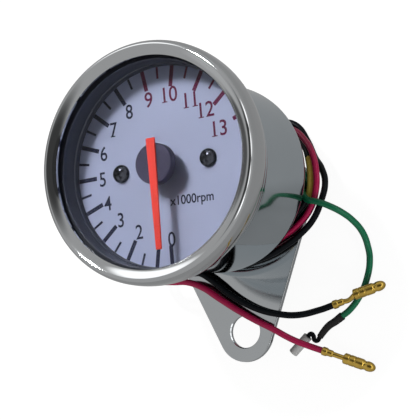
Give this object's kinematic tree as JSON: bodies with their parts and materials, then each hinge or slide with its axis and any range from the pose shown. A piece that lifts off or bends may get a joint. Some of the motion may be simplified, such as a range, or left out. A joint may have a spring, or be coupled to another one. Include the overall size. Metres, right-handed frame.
{
  "type": "motorcycle tachometer",
  "caption": "Round chromed motorcycle tachometer on a flat triangular bracket, white dial with a red pointer, and loose coloured leads ending in bullet plugs.",
  "frame": {"origin": "on the table, under the middle of the bounding box of the gauge and its bracket without the leads; the gauge lies on its back, dial up", "axes": "+X to the dial's 3 o'clock, +Y to the dial's 12 o'clock and away from the bracket's tip, +Z out of the dial along the pointer's shaft"},
  "size_m": [0.0726, 0.0893, 0.056],
  "materials": {
    "chrome": "polished",
    "zinc_steel": "zinc plated",
    "glass": "clear",
    "black_rubber": "matte",
    "navy_plastic": "matte",
    "dial_print": "satin print",
    "black_steel": "black oxide",
    "white_plastic": "matte",
    "brass": "turned",
    "pointer_red": "satin",
    "cap_grey": "satin",
    "steel": "ground",
    "magnet": "sintered",
    "copper": "enamelled wire",
    "black_plastic": "matte",
    "board_green": "solder mask",
    "capacitor_sleeve": "printed sleeve",
    "trimmer_blue": "moulded",
    "resistor_beige": "lacquer",
    "lamp": "diffused",
    "red_pvc": "satin",
    "black_pvc": "satin",
    "green_pvc": "satin",
    "sleeve_black": "satin",
    "clear_sleeve": "translucent",
    "gold_plate": "plated"
  },
  "bodies": {
    "case": {"bezel_ring": "chrome", "lens": "glass", "lens_gasket": "black_rubber", "reflector_shroud": "navy_plastic", "case_seal": "black_rubber", "cup": "chrome", "dial_plate": "dial_print", "dial_screws": "black_steel", "light_housing": "white_plastic", "dial_posts": "brass", "bobbin_upper": "white_plastic", "bobbin_lower": "white_plastic", "upper_bearing": "brass", "lower_bearing": "brass", "coil_inner": "copper", "coil_outer": "copper", "shield_can": "steel", "movement_base": "black_plastic", "circuit_board": "board_green", "driver_chip": "black_plastic", "capacitors": "capacitor_sleeve", "trimmer": "trimmer_blue", "resistors": "resistor_beige", "backlight_lamps": "lamp", "board_screws": "steel", "board_leads": "black_pvc", "mounting_studs": "zinc_steel", "rubber_washers": "black_rubber", "bracket": "chrome", "flat_washers": "zinc_steel", "spring_washers": "zinc_steel", "nuts": "zinc_steel", "cable_boot": "black_rubber", "lead_red": "red_pvc", "lead_black": "black_pvc", "lead_green": "green_pvc", "lead_striped": "black_pvc", "bullet_red": "gold_plate", "bullet_black": "gold_plate", "bullet_striped": "gold_plate", "green_sleeve": "sleeve_black", "green_tail": "sleeve_black", "tail_sleeve": "clear_sleeve"},
    "needle": {"pointer": "pointer_red", "pointer_cap": "cap_grey", "pointer_shaft": "steel", "rotor_magnet": "magnet"}
  },
  "joints": [
    {"name": "pointer_turn", "type": "hinge", "parent": "case", "child": "needle", "pos_m": [0, 0.0091, 0.0453], "axis": [0, 0, 1], "range_deg": [-250, 0]}
  ]
}
